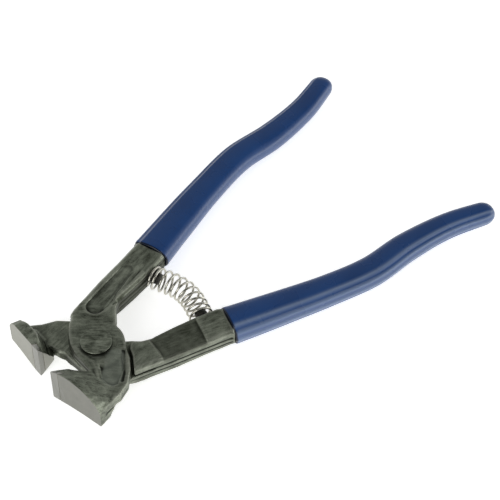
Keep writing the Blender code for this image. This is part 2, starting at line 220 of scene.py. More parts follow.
def table_value(rows, x, column):
    """The value of a table's column at x, smooth through its rows."""
    xs = [row[0] for row in rows]
    i = min(max(int(np.searchsorted(xs, x)) - 1, 0), len(rows) - 2)
    before = rows[max(i - 1, 0)]
    low, high = rows[i], rows[i + 1]
    after = rows[min(i + 2, len(rows) - 1)]
    t = (x - low[0]) / (high[0] - low[0])
    a, b, c, d = before[column], low[column], high[column], after[column]
    if i == 0:
        a = 2 * b - c
    if i == len(rows) - 2:
        d = 2 * c - b
    cubic = 3 * b - a - 3 * c + d
    square = 2 * a - 5 * b + 4 * c - d
    return 0.5 * (2 * b + (c - a) * t + square * t**2 + cubic * t**3)


def coordinates(mesh):
    co = np.empty(len(mesh.vertices) * 3)
    mesh.vertices.foreach_get("co", co)
    return co.reshape(-1, 3)


def set_coordinates(mesh, co):
    mesh.vertices.foreach_set("co", co.astype(np.float32).ravel())
    mesh.update()


def new_object(name, mesh):
    obj = bpy.data.objects.new(name, mesh)
    bpy.context.scene.collection.objects.link(obj)
    return obj


def mesh_from(name, bm):
    bmesh.ops.recalc_face_normals(bm, faces=bm.faces)
    mesh = bpy.data.meshes.new(name)
    bm.to_mesh(mesh)
    bm.free()
    return mesh


def loft(rings):
    """A solid through rings of equal length, each a list of 3-D points."""
    bm = bmesh.new()
    loops = [[bm.verts.new(p) for p in ring] for ring in rings]
    count = len(rings[0])
    for low, high in zip(loops, loops[1:]):
        for i in range(count):
            j = (i + 1) % count
            bm.faces.new((low[i], low[j], high[j], high[i]))
    bm.faces.new(loops[0][::-1])
    bm.faces.new(loops[-1])
    return bm


def placed(obj, rear=False):
    """Turns a piece drawn in the front half's stance into place, and scales it to metres."""
    turn = Matrix.Rotation(math.pi, 4, "X") if rear else Matrix.Identity(4)
    lower = Matrix.Translation((0.0, 0.0, LAP_PLANE))
    obj.data.transform(lower @ Matrix.Scale(MM, 4) @ turn)
    obj.data.update()
    return obj


def finish_piece(obj, body, node, material, angle=35):
    """Gives a piece its material and its body, and hides the frame's node that it stands for."""
    if not obj.data.materials:
        obj.data.materials.append(material)
    obj.data.shade_smooth()
    obj.data.set_sharp_from_angle(angle=math.radians(angle))
    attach(obj, body)
    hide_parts(node)
    return obj


# ---------------------------------------------------------------- the two forgings


class Jaw:
    """A jaw's front face, relieved inner face and tip seat, in plan in the front half's stance."""

    def __init__(self, edge, outer, lean, seat):
        """edge and outer end the front face, lean tilts the inner face, seat runs along the tip's side."""
        self.edge = np.array(edge)
        along = np.array(outer) - self.edge
        self.along = along / np.linalg.norm(along)
        back = np.array([-self.along[1], self.along[0]])
        inward = back + lean * self.along
        self.inward = inward / np.linalg.norm(inward)
        self.face_normal = -back
        self.inner_normal = np.array([-self.inward[1], self.inward[0]])
        self.seat = np.array(seat) / np.linalg.norm(seat)

    def corner(self, grow):
        """A tall prism over the cutting corner that the carbide tip takes up, grown past the tip's seat."""
        heel = self.edge + self.seat * (TIP_DEPTH + grow) + self.along * (TIP_FACE + grow)
        inner = self.seat * CORNER_REACH
        along = self.along * CORNER_REACH
        outline = [heel - inner - along, heel - along, heel, heel - inner]
        rings = [[(*point, z) for point in outline] for z in (-CORNER_REACH, CORNER_REACH)]
        return new_object("corner", mesh_from("corner", loft(rings)))


FRONT_JAW = Jaw((-23.879, -1.0), (-19.9, -27.6), 0.42, (8.4, -3.0))
REAR_JAW = Jaw((-21.421, -10.6), (-20.7, -31.1), 0.16, (8.4, -1.2))


def cad_blank(side, rear):
    """The frame's lever half with its tip and seam, in millimetres and in the front half's stance."""
    bm = bmesh.new()
    for part in ("half", "tip", "braze"):
        bm.from_mesh(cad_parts[f"{side}_{part}"].data)
    turn = Matrix.Rotation(math.pi, 4, "X") if rear else Matrix.Identity(4)
    lift = Matrix.Translation((0.0, 0.0, -LAP_PLANE))
    bmesh.ops.transform(bm, matrix=turn @ Matrix.Scale(1 / MM, 4) @ lift, verts=bm.verts)
    bmesh.ops.remove_doubles(bm, verts=bm.verts, dist=WELD_DISTANCE)
    return bm


def add_grinding_allowance(bm, point, normal):
    """Thickens the blank past a flat face, so that rounding its edges leaves the ground face whole."""
    n = Vector((*normal, 0.0))
    p = Vector((*point, 0.0))

    def on_face(face):
        off_plane = abs((face.calc_center_median() - p).dot(n))
        return face.normal.dot(n) > SAME_WAY and off_plane < SAME_PLANE

    faces = [face for face in bm.faces if on_face(face)]
    grown = bmesh.ops.extrude_face_region(bm, geom=faces)
    moved = [v for v in grown["geom"] if isinstance(v, bmesh.types.BMVert)]
    bmesh.ops.translate(bm, vec=n * GROUND_ALLOWANCE, verts=moved)
    bmesh.ops.delete(bm, geom=faces, context="FACES_ONLY")


def modified_mesh(obj):
    """The mesh that the object's modifiers make."""
    bpy.context.view_layer.update()
    evaluated = obj.evaluated_get(bpy.context.evaluated_depsgraph_get())
    return bpy.data.meshes.new_from_object(evaluated)


def remeshed(name, bm):
    """An even quad mesh of the blank."""
    blank = new_object(name + "_blank", mesh_from(name, bm))
    modifier = blank.modifiers.new("remesh", "REMESH")
    modifier.mode = "VOXEL"
    modifier.voxel_size = VOXEL
    mesh = modified_mesh(blank)
    bpy.data.objects.remove(blank)
    return mesh


def neighbour_mean(co, pairs, degree):
    """The mean place of each point's neighbours."""
    total = np.empty_like(co)
    for axis in range(3):
        sums = np.bincount(pairs[:, 0], co[pairs[:, 1], axis], len(co))
        sums += np.bincount(pairs[:, 1], co[pairs[:, 0], axis], len(co))
        total[:, axis] = sums
    return total / degree[:, None]


def edge_pairs(mesh):
    """The point pairs that the edges join, and how many edges meet at each point."""
    pairs = np.empty(len(mesh.edges) * 2, np.int32)
    mesh.edges.foreach_get("vertices", pairs)
    pairs = pairs.reshape(-1, 2)
    degree = np.bincount(pairs.ravel(), minlength=len(mesh.vertices)).astype(float)
    return pairs, np.maximum(degree, 1.0)


def vertex_normals(mesh):
    normals = np.empty(len(mesh.vertices) * 3)
    mesh.vertex_normals.foreach_get("vector", normals)
    return normals.reshape(-1, 3)


def soften(mesh, rounds):
    """Rounds every edge a little, as a forging's edges are."""
    pairs, degree = edge_pairs(mesh)
    co = coordinates(mesh)
    for _ in range(rounds):
        co += RELAX * (neighbour_mean(co, pairs, degree) - co)
    set_coordinates(mesh, co)


def fill_corners(mesh):
    """Grows fillets in the inside corners and leaves the outside edges alone."""
    pairs, degree = edge_pairs(mesh)
    co = coordinates(mesh)
    for turn in range(FILLET_ROUNDS):
        if turn % NORMALS_EVERY == 0:
            set_coordinates(mesh, co)
            normals = vertex_normals(mesh)
        rise = ((neighbour_mean(co, pairs, degree) - co) * normals).sum(axis=1)
        co += normals * (RELAX * np.maximum(rise, 0.0))[:, None]
    set_coordinates(mesh, co)


def melt(mesh):
    """Blends the surface together around each (x, y, z, radius) of the melted spots."""
    pairs, degree = edge_pairs(mesh)
    co = coordinates(mesh)
    weight = np.zeros(len(co))
    for x, y, z, radius in MELTED_SPOTS:
        far = np.linalg.norm(co - np.array((x, y, z)), axis=1)
        weight = np.maximum(weight, 1 - smoothstep(MELT_CORE * radius, radius, far))
    near = weight > 0.0
    for _ in range(MELT_ROUNDS):
        step = neighbour_mean(co, pairs, degree) - co
        co[near] += MELT_PULL * weight[near, None] * step[near]
    set_coordinates(mesh, co)


def run_gap(points, start, end):
    """How far along a straight run each point lies, from 0 to 1, and its plan distance to the run."""
    a, b = np.array(start), np.array(end)
    along = b - a
    t = np.clip(((points - a) @ along) / (along @ along), 0.0, 1.0)
    gap = points - (a + t[:, None] * along)
    return t, np.hypot(gap[:, 0], gap[:, 1])


def path_distance(points, path):
    """Plan distance from each point to a path of straight runs."""
    gaps = [run_gap(points, start, end)[1] for start, end in zip(path, path[1:])]
    return np.min(gaps, axis=0)


def recess_edge(points):
    """Signed plan distance to the edge of the arm's recess, a tapered slot, negative inside."""
    t, gap = run_gap(points, RECESS_START, RECESS_END)
    return gap - lerp(RECESS_START_RADIUS, RECESS_END_RADIUS, t)


def top_relief(co):
    """How far the die lifts each point of the plate's top and the arm's top."""
    plan = co[:, :2]
    x, y, z = co[:, 0], co[:, 1], co[:, 2]
    edge = recess_edge(plan)
    lift = RECESS_RAISE * (1 - smoothstep(-0.7, 0.5, edge)) + RECESS_BORDER * bell(edge - 0.9, 0.7)
    for path, height, width in RELIEF_LINES:
        lift += height * bell(path_distance(plan, path), width)
    # the neck's panel is level with the rivet's seat, and the neck falls away beyond it
    neck = smoothstep(-5.0, -6.0, y) * smoothstep(8.5, 6.5, np.abs(x + 0.1 * y))
    level = neck * smoothstep(13.2, 8.8, np.hypot(x, y)) * smoothstep(3.9, 4.2, z)
    lift += level * (NECK_LEVEL - z)
    return lift * smoothstep(2.2, 3.6, z) * smoothstep(-14.0, -10.0, x)


def side_relief(co, normals):
    """How far the sides stand out: the parting line's beads, the groove at the lap and the thinner tang."""
    x, y, z = co[:, 0], co[:, 1], co[:, 2]
    radius = np.hypot(x, y)
    mouth, ahead = handle_point(GRIP_START), handle_direction(GRIP_START)
    past_mouth = (x - mouth.x) * ahead.x + (y - mouth.y) * ahead.y
    on_arm = smoothstep(12.5, 15.0, radius) * smoothstep(-12.0, -8.0, x) * smoothstep(0.0, -1.2, past_mouth)
    on_hub = smoothstep(-11.5, -9.0, x) * smoothstep(15.0, 12.5, radius) * smoothstep(0.3, 0.9, z)
    at_lap = smoothstep(1.1, 0.1, np.abs(z)) * smoothstep(16.0, 12.5, np.abs(x + 2.0))
    out = -LAP_GROOVE * at_lap
    for where, beads in ((on_arm, ARM_PARTING_LINE), (on_hub, HUB_PARTING_LINE)):
        for middle, height, width in beads:
            out += where * height * bell(z - middle, width)
    out *= smoothstep(0.75, 0.35, np.abs(normals[:, 2]))
    return out - TANG_SHRINK * smoothstep(-0.3, 0.5, past_mouth)


def forged_relief(co, normals):
    """The forging die's finer shapes, as a shift of each point."""
    shift = normals * side_relief(co, normals)[:, None]
    shift[:, 2] += top_relief(co)
    return shift


def forging_scale(co, normals):
    """The slight unevenness of a forged skin, kept off the lap faces."""
    clear = smoothstep(0.5, 1.5, np.abs(co[:, 2]))
    wave = [noise.noise(Vector(p) * 0.16) + 0.5 * noise.noise(Vector(p) * 0.42) for p in co]
    return normals * (SKIN_WAVE * clear * np.array(wave))[:, None]


def grind(bm, point, normal, inward=None):
    """Grinds a flat face. With inward the cut stays near the edge, along the inner face."""
    n = Vector((*normal, 0.0))
    p = Vector((*point, 0.0))

    def near(place):
        offset = place - p
        if inward is None:
            return abs(offset.dot(n)) < GRIND_DEPTH
        depth = offset.x * inward[0] + offset.y * inward[1]
        return -GRIND_DEPTH < depth < INNER_GRIND_REACH and abs(offset.dot(n)) < INNER_GRIND_DEPTH

    faces = [f for f in bm.faces if any(near(v.co) for v in f.verts)]
    edges = {e for f in faces for e in f.edges}
    verts = {v for f in faces for v in f.verts}
    bmesh.ops.bisect_plane(
        bm,
        geom=faces + list(edges) + list(verts),
        dist=1e-4,
        plane_co=p,
        plane_no=n,
        clear_outer=True,
    )
    rim = [e for e in bm.edges if len(e.link_faces) == 1]
    filled = bmesh.ops.holes_fill(bm, edges=rim, sides=0)["faces"]
    for face in filled:
        face.material_index = GROUND_SLOT


def store_value(mesh, name, value):
    """Stores a value for each point, for the materials to read."""
    attribute = mesh.attributes.new(name, "FLOAT", "POINT")
    attribute.data.foreach_set("value", value.astype(np.float32))


def store_wear_and_shade(mesh):
    """Stores how far each point stands out of its surroundings, for rubbed edges and painted shade in
    corners.
    """
    pairs, degree = edge_pairs(mesh)
    co = coordinates(mesh)
    flat = co.copy()
    for _ in range(WEAR_AND_SHADE_ROUNDS):
        flat = neighbour_mean(flat, pairs, degree)
    stands = ((co - flat) * vertex_normals(mesh)).sum(axis=1)
    store_value(mesh, "wear_and_shade", np.clip(0.5 + stands * WEAR_AND_SHADE_GAIN, 0.0, 1.0))


def side_of_line(points, start, end):
    """Signed plan distance to the line from start to end, positive on its right."""
    a, b = np.array(start), np.array(end)
    along = (b - a) / np.linalg.norm(b - a)
    return (points - a) @ np.array([along[1], -along[0]])


def store_shade(mesh):
    """Marks the milled flat as darker, paints shade on the arm's inner wall and the hub's left edge, and
    paints a highlight on the neck, which it marks lighter.
    """
    co = coordinates(mesh)
    plan = co[:, :2]
    x, y, z = co[:, 0], co[:, 1], co[:, 2]
    normals = vertex_normals(mesh)
    milled = smoothstep(-0.25, 0.25, side_of_line(plan, *MILLED_START))
    milled *= smoothstep(0.25, -0.25, side_of_line(plan, *MILLED_END))
    milled *= smoothstep(-2.4, -3.0, z)
    # painted highlight: the neck's panel is lightened
    panel = smoothstep(4.6, 3.4, path_distance(plan, NECK_PANEL)) * smoothstep(3.0, 4.0, z)
    upright = smoothstep(0.8, 0.5, np.abs(normals[:, 2]))
    # painted shade: the arm's inner wall, which faces the side lamp, is darkened
    inner_wall = upright * smoothstep(12.0, 16.0, x) * smoothstep(0.5, 0.8, -normals[:, 1])
    # painted shade: the hub plate's left wall is darkened as if in shadow
    scale = upright * smoothstep(-4.5, -6.0, x) * smoothstep(-11.5, -10.0, y) * smoothstep(1.2, 2.0, z)
    store_value(mesh, "shade", 0.45 * panel - 0.5 * milled - 0.85 * scale - 0.75 * inner_wall)


def worked_half(side, jaw, rear):
    """One lever half with its tip in one: forged fillets, die relief and ground jaw faces."""
    bm = cad_blank(side, rear)
    add_grinding_allowance(bm, jaw.edge, jaw.face_normal)
    add_grinding_allowance(bm, jaw.edge, jaw.inner_normal)
    mesh = remeshed(side, bm)
    soften(mesh, 2)
    melt(mesh)
    fill_corners(mesh)
    co = coordinates(mesh)
    co += forged_relief(co, vertex_normals(mesh))
    set_coordinates(mesh, co)
    co += forging_scale(co, vertex_normals(mesh))
    set_coordinates(mesh, co)
    soften(mesh, 1)
    store_wear_and_shade(mesh)
    store_shade(mesh)

    bm = bmesh.new()
    bm.from_mesh(mesh)
    grind(bm, jaw.edge, jaw.face_normal)
    grind(bm, jaw.edge, jaw.inner_normal, jaw.inward)
    bmesh.ops.triangulate(bm, faces=[f for f in bm.faces if len(f.verts) > 4])
    bmesh.ops.recalc_face_normals(bm, faces=bm.faces)
    bm.to_mesh(mesh)
    bm.free()
    return new_object(side + "_worked", mesh)


def cut(name, source, tool, operation):
    """A new object with what the tool leaves of the source."""
    obj = new_object(name, source.data.copy())
    modifier = obj.modifiers.new("cut", "BOOLEAN")
    modifier.operation = operation
    modifier.object = tool
    modifier.solver = "MANIFOLD"
    obj.data = modified_mesh(obj)
    obj.modifiers.clear()
    return obj


def lever_half(side, jaw, rear, steel, ground, insert, filler):
    """A forging, its carbide tip and the braze between them, split from one worked piece."""
    worked = worked_half(side, jaw, rear)
    tools = {grow: jaw.corner(grow) for grow in (0.0, SEAM_GAP, BRAZE - SEAM_GAP, BRAZE)}
    half = cut(side + "_forging", worked, tools[BRAZE], "DIFFERENCE")
    tip = cut(side + "_insert", worked, tools[0.0], "INTERSECT")
    around = cut(side + "_around", worked, tools[BRAZE - SEAM_GAP], "INTERSECT")
    seam = cut(side + "_seam", around, tools[SEAM_GAP], "DIFFERENCE")
    for spare in (worked, around, *tools.values()):
        bpy.data.objects.remove(spare)

    body = side + "_lever"
    for obj, part, slot, materials in (
        (half, "half", "forged_steel", (steel, ground)),
        (tip, "tip", "carbide", (insert,)),
        (seam, "braze", "braze_metal", (filler,)),
    ):
        last = len(materials) - 1
        index = [min(polygon.material_index, last) for polygon in obj.data.polygons]
        obj.data.materials.clear()
        for material in materials:
            obj.data.materials.append(material)
        obj.data.polygons.foreach_set("material_index", index)
        finish_piece(placed(obj, rear), body, f"{side}_{part}", materials[0], angle=50)


# ---------------------------------------------------------------- rivet and pegs


def turned_rings(profile, steps, axis_point=(0.0, 0.0, 0.0), heading=(0.0, 0.0, 1.0)):
    """Rings of a turned solid from (radius, distance along the heading) points."""
    axis = Vector(heading).normalized()
    across = axis.orthogonal().normalized()
    beside = axis.cross(across)
    start = Vector(axis_point)
    rings = []
    for radius, along in profile:
        turns = [math.tau * k / steps for k in range(steps)]
        centre = start + axis * along
        rings.append([centre + (across * math.cos(a) + beside * math.sin(a)) * radius for a in turns])
    return rings


def rounded(profile, radius=0.3, steps=4):
    """The profile with each inside point swapped for a short rounding."""
    points = [Vector(p) for p in profile]
    result = [points[0]]
    for before, here, after in zip(points, points[1:], points[2:]):
        back = min(radius, (before - here).length * 0.45)
        on = min(radius, (after - here).length * 0.45)
        start = here + (before - here).normalized() * back
        end = here + (after - here).normalized() * on
        for i in range(steps + 1):
            t = i / steps
            result.append(start * (1 - t) ** 2 + here * 2 * t * (1 - t) + end * t**2)
    result.append(points[-1])
    return [tuple(p) for p in result]


def crown(radius, rings, base, height):
    """(radius, height) points of a shallow dome inside a radius, from its middle outwards."""
    shares = [k / rings for k in range(1, rings)]
    return [(radius * share, base + height * (1 - share**2)) for share in shares]


def pivot_rivet(material):
    """The rivet: an upset tail, a shank through both plates and a round head with a slightly domed top."""
    low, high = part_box("pivot_rivet")
    head = (high.z - LAP_PLANE) / MM
    foot = (low.z - LAP_PLANE) / MM
    outline = [
        (RIVET_CROWN_RADIUS, foot),
        (RIVET_TAIL_RADIUS - 0.05, foot + 0.45),
        (RIVET_TAIL_RADIUS, -RIVET_SEAT),
        (RIVET_SHANK_RADIUS, -RIVET_SEAT),
        (RIVET_SHANK_RADIUS, RIVET_SEAT),
        (RIVET_HEAD_RADIUS, RIVET_SEAT),
        (RIVET_HEAD_RADIUS, head - 0.4),
        (RIVET_HEAD_RADIUS - 0.45, head - 0.08),
        (RIVET_CROWN_RADIUS, head),
    ]
    tail_rings = crown(RIVET_CROWN_RADIUS, RIVET_CROWN_RINGS, foot, -0.06)
    head_rings = crown(RIVET_CROWN_RADIUS, RIVET_CROWN_RINGS, head, 0.05)[::-1]
    profile = tail_rings + rounded(outline, RIVET_EDGE) + head_rings
    obj = new_object("rivet", mesh_from("rivet", loft(turned_rings(profile, RIVET_STEPS))))
    co = coordinates(obj.data)
    dents = np.array([noise.noise(Vector(p) * 0.5 + Vector((9, 4, 2))) for p in co])
    ends = smoothstep(5.9, 6.4, np.abs(co[:, 2])) * smoothstep(6.3, 5.6, np.hypot(co[:, 0], co[:, 1]))
    co[:, 2] -= RIVET_DENTS * ends * dents
    set_coordinates(obj.data, co)
    return finish_piece(placed(obj), "front_lever", "pivot_rivet", material)


def spring_peg(name, node, body, x, rear, material):
    """A headed peg that holds the spring's end coil, square to the arm."""
    end_radius, end = PEG_OUTLINE[-1]
    caps = crown(end_radius, PEG_CROWN_RINGS, end, PEG_CROWN)[::-1]
    profile = rounded(PEG_OUTLINE, PEG_EDGE) + caps
    rings = turned_rings(profile, PEG_STEPS, (x, PEG_Y, 0.0), PEG_HEADING)
    obj = new_object(name, mesh_from(name, loft(rings)))
    return finish_piece(placed(obj, rear), body, node, material)


# ---------------------------------------------------------------- dipped grips


def handle_point(x):
    return Vector((x, table_value(HANDLE_LINE, x, 1)))


def handle_direction(x):
    return (handle_point(x + 0.5) - handle_point(x - 0.5)).normalized()


def grip_section(x, scale, grow):
    """A section across the handle, with the ribs that the forging under the dip shows on its outer side."""
    direction = handle_direction(x)
    side = Vector((-direction.y, direction.x))
    centre = handle_point(x)
    half_width = table_value(GRIP_SIZES, x, 1) * scale + grow
    half_thick = table_value(GRIP_SIZES, x, 2) * scale + grow
    strength = min(1.0, max(0.0, (HANDLE_END - x) / RIB_FADE)) * scale
    ring = []
    for k in range(GRIP_STEPS):
        a = math.tau * k / GRIP_STEPS
        c, s = math.cos(a), math.sin(a)
        from_outer = abs(math.degrees(math.atan2(s, c)))
        rib = RIB_HEIGHT * math.cos(math.tau * from_outer / RIB_SPACING)
        rib *= strength * (1 - smoothstep(*RIB_EDGE, from_outer))
        u = half_width * math.copysign(abs(c) ** GRIP_SQUARENESS, c) + c * rib
        z = half_thick * math.copysign(abs(s) ** GRIP_SQUARENESS, s) + s * rib
        ring.append((*(centre + side * u), z))
    return ring


def store_mouth_and_ribs(mesh, mouth_count):
    """Marks the first points of a sleeve, the hollow and the lip of the mouth, and the crests of its ribs."""
    index = np.arange(len(mesh.vertices))
    turn = 360.0 * (index % GRIP_STEPS) / GRIP_STEPS
    from_outer = np.minimum(turn, 360.0 - turn)
    crest = 0.5 + 0.5 * np.cos(math.tau * from_outer / RIB_SPACING)
    store_value(mesh, "mouth", index < mouth_count)
    store_value(mesh, "crest", crest * (1 - smoothstep(*CREST_EDGE, from_outer)))


def grip_rings():
    """The sleeve's sections, from deep inside its hollow, around the mouth and along to the round end."""
    rings = []
    for depth in HOLLOW_RINGS:
        rings.append(grip_section(GRIP_START + depth, 1.0, -HOLLOW_SHRINK))
    for ahead, grow in MOUTH_RINGS:
        rings.append(grip_section(GRIP_START + ahead, 1.0, grow - GRIP_SHRINK))
    first, last = GRIP_START + MOUTH_RINGS[-1][0], HANDLE_END - GRIP_END
    for i in range(1, GRIP_STATIONS + 1):
        rings.append(grip_section(lerp(first, last, i / GRIP_STATIONS), 1.0, -GRIP_SHRINK))
    for i in range(1, GRIP_END_RINGS):
        a = math.pi / 2 * i / GRIP_END_RINGS
        scale = math.cos(a) ** GRIP_END_ROUNDNESS
        rings.append(grip_section(last + GRIP_END * math.sin(a), scale, -GRIP_SHRINK))
    return rings


def grip_sleeve(name, node, body, rear, material):
    """A dipped sleeve: rolled mouth, long swell, round end, and an open hollow for the tang."""
    mesh = mesh_from(name, loft(grip_rings()))
    obj = new_object(name, mesh)
    store_mouth_and_ribs(mesh, GRIP_STEPS * DARK_RINGS)
    co = coordinates(mesh)
    shift = 7.0 if rear else 0.0
    sag = [noise.noise(Vector((x * 0.06, y * 0.12, z * 0.12 + shift))) for x, y, z in co]
    co += vertex_normals(mesh) * (SAG * np.array(sag))[:, None]
    set_coordinates(mesh, co)
    return finish_piece(placed(obj, rear), body, node, material, angle=60)


# ---------------------------------------------------------------- return spring


def spring_axis(t):
    """The point on the spring's bowed middle line at a share of its length."""
    hump = 4 * t * (1 - t)
    x = lerp(SPRING_FRONT_X, SPRING_REAR_X, t) + SPRING_BOW * hump * (0.6 + 0.4 * hump)
    return Vector((x, lerp(SPRING_END_Y, -SPRING_END_Y, t), 0.0))


def spring_share(turn_share):
    """Where along the axis a share of the winding lies: the end coils lie closed against their seats."""
    dead, closed = SPRING_DEAD_SHARE, SPRING_CLOSED_SHARE
    if turn_share < dead:
        return turn_share / dead * closed
    if turn_share > 1 - dead:
        return 1 - (1 - turn_share) / dead * closed
    return lerp(closed, 1 - closed, (turn_share - dead) / (1 - 2 * dead))


def spring_path(first, last, per_turn=40):
    """Points, radial directions and tangents of the wire's centre between two shares of the winding."""
    radius = (SPRING_DIAMETER - SPRING_WIRE) / 2
    count = round((last - first) * SPRING_TURNS * per_turn)

    def at(share):
        t = spring_share(share)
        heading = (spring_axis(t + 0.01) - spring_axis(t - 0.01)).normalized()
        side = heading.cross(Vector((0, 0, 1)))
        a = math.tau * SPRING_TURNS * share
        return spring_axis(t), side * math.cos(a) + Vector((0, 0, 1)) * math.sin(a)

    points = []
    for i in range(count + 1):
        share = lerp(first, last, i / count)
        centre, out = at(share)
        ahead_centre, ahead_out = at(share + 1e-4)
        point = centre + out * radius
        tangent = (ahead_centre + ahead_out * radius - point).normalized()
        points.append((point, (out - tangent * out.dot(tangent)).normalized(), tangent))
    return points


def spring_length(name, first, last):
    """A run of the wire as a solid of round section."""
    turns = [math.tau * k / WIRE_STEPS for k in range(WIRE_STEPS)]
    rings = []
    for point, out, tangent in spring_path(first, last):
        across = tangent.cross(out)
        rings.append([point + (out * math.cos(a) + across * math.sin(a)) * SPRING_WIRE / 2 for a in turns])
    return new_object(name, mesh_from(name, loft(rings)))


def smoothstep_place(value):
    """The t at which t * t * (3 - 2 * t) has the value."""
    return 0.5 - math.sin(math.asin(1 - 2 * value) / 3)


def return_spring(material):
    """The spring in runs that join end to end."""
    for k in range(SPRING_RUNS):
        first, last = k / SPRING_RUNS, (k + 1) / SPRING_RUNS
        obj = spring_length(f"spring_run_{k + 1}", first, last)
        placed(obj)
        obj.data.materials.append(material)
        obj.data.shade_smooth()
        # start and end lie where a smoothstep easing gives each end of the run its own share of the motion
        follow = [min(max(spring_share(s), LEAST_FOLLOW), 1 - LEAST_FOLLOW) for s in (first, last)]
        t_first, t_last = [smoothstep_place(w) for w in follow]
        a = spring_axis(spring_share(first))
        b = spring_axis(spring_share(last))
        per_t = (b - a) / (t_last - t_first)
        start = (a - per_t * t_first) * MM
        end = (a + per_t * (1 - t_first)) * MM
        start.z = end.z = LAP_PLANE
        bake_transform(obj)
        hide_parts("return_spring")


# ---------------------------------------------------------------- materials


STEEL_DARK = (0.055, 0.063, 0.045)
STEEL_LIGHT = (0.295, 0.318, 0.255)
STEEL_RUBBED = (0.38, 0.39, 0.33)
# darker milled steel, also used as painted shade
STEEL_MILLED_AND_SHADED = (0.04, 0.044, 0.03)
# painted highlight for the neck's panel
STEEL_PAINTED_HIGHLIGHT = (0.3, 0.33, 0.28)
# painted shade, for crevices and for the rivet head's steep sides
PAINTED_SHADE = (0.012, 0.014, 0.01)
GROUND_DARK = (0.2, 0.2, 0.176)
GROUND_LIGHT = (0.25, 0.25, 0.22)
CARBIDE_DARK = (0.21, 0.21, 0.19)
CARBIDE_LIGHT = (0.27, 0.27, 0.245)
BRAZE_DARK = (0.09, 0.085, 0.06)
BRAZE_LIGHT = (0.2, 0.185, 0.135)
NICKEL_DARK = (0.4, 0.385, 0.33)
NICKEL_LIGHT = (0.66, 0.645, 0.58)
OXIDE_DARK = (0.02, 0.02, 0.017)
OXIDE_RUBBED = (0.075, 0.072, 0.062)
DIP_DARK = (0.004, 0.04, 0.16)
DIP_LIGHT = (0.006, 0.055, 0.21)
DIP_PAINTED_SHEEN = (0.15, 0.2, 0.34)
DIP_PAINTED_CREST_SHEEN = (0.14, 0.195, 0.32)
DIP_PAINTED_HOLLOW_SHADE = (0.002, 0.006, 0.02)
FLOOR_DARK = (0.9, 0.9, 0.895)
FLOOR_LIGHT = (0.92, 0.92, 0.915)
BRUSHED = (0.18, 1.0, 1.0)
HUB_GRAIN = -41.0
FLOOR_GLOW = 0.75


class Nodes:
    """Short calls for building one material's node tree."""

    def __init__(self, name):
        self.material = bpy.data.materials.new(name)
        self.material.use_nodes = True
        self.tree = self.material.node_tree
        self.shader = self.tree.nodes["Principled BSDF"]
        coordinate = self.node("ShaderNodeTexCoord")
        self.place = coordinate.outputs["Object"]
        self.facing = coordinate.outputs["Normal"]

    def node(self, kind, **inputs):
        made = self.tree.nodes.new(kind)
        for key, value in inputs.items():
            self.feed(made.inputs[key.replace("_", " ")], value)
        return made

    def feed(self, socket, value):
        if isinstance(value, bpy.types.NodeSocket):
            self.tree.links.new(value, socket)
        else:
            socket.default_value = value

    def stretched(self, angle=0.0, scale=(1.0, 1.0, 1.0)):
        """Object coordinates turned by the angle about Z and stretched, for grain that runs one way."""
        turn = self.node("ShaderNodeMapping", Vector=self.place, Rotation=(0.0, 0.0, -math.radians(angle)))
        return self.node("ShaderNodeMapping", Vector=turn.outputs["Vector"], Scale=scale).outputs["Vector"]

    def attribute(self, name):
        """A value stored on the mesh's points."""
        made = self.node("ShaderNodeAttribute")
        made.attribute_name = name
        return made.outputs["Fac"]

    def blend_values(self, share, a, b):
        made = self.node("ShaderNodeMix", Factor=share)
        self.feed(made.inputs[2], a)
        self.feed(made.inputs[3], b)
        return made.outputs[0]

    def noise(self, scale, detail=4.0, roughness=0.6, vector=None):
        made = self.node("ShaderNodeTexNoise", Scale=scale, Detail=detail, Roughness=roughness)
        self.feed(made.inputs["Vector"], vector or self.place)
        return made.outputs["Fac"]

    def ramp(self, value, low, high, out_low=0.0, out_high=1.0):
        made = self.node("ShaderNodeMapRange", Value=value)
        self.feed(made.inputs["From Min"], low)
        self.feed(made.inputs["From Max"], high)
        self.feed(made.inputs["To Min"], out_low)
        self.feed(made.inputs["To Max"], out_high)
        return made.outputs["Result"]

    def mix(self, share, a, b):
        made = self.tree.nodes.new("ShaderNodeMix")
        made.data_type = "RGBA"
        self.feed(made.inputs[0], share)
        self.feed(made.inputs[6], a if isinstance(a, bpy.types.NodeSocket) else (*a, 1.0))
        self.feed(made.inputs[7], b if isinstance(b, bpy.types.NodeSocket) else (*b, 1.0))
        return made.outputs[2]

    def size_of(self, value):
        made = self.node("ShaderNodeMath")
        made.operation = "ABSOLUTE"
        self.feed(made.inputs[0], value)
        return made.outputs[0]

    def sum(self, *terms):
        """The sum of (socket, factor) terms."""
        total = None
        for socket, factor in terms:
            scaled = self.node("ShaderNodeMath")
            scaled.operation = "MULTIPLY"
            self.feed(scaled.inputs[0], socket)
            self.feed(scaled.inputs[1], factor)
            if total is None:
                total = scaled.outputs[0]
                continue
            added = self.node("ShaderNodeMath")
            added.operation = "ADD"
            self.feed(added.inputs[0], total)
            self.feed(added.inputs[1], scaled.outputs[0])
            total = added.outputs[0]
        return total

    def bump(self, height, depth, strength=1.0):
        made = self.node("ShaderNodeBump", Height=height, Distance=depth, Strength=strength)
        self.feed(self.shader.inputs["Normal"], made.outputs["Normal"])

    def surface(self, **inputs):
        for key, value in inputs.items():
            self.feed(self.shader.inputs[key.replace("_", " ")], value)
        return self.material


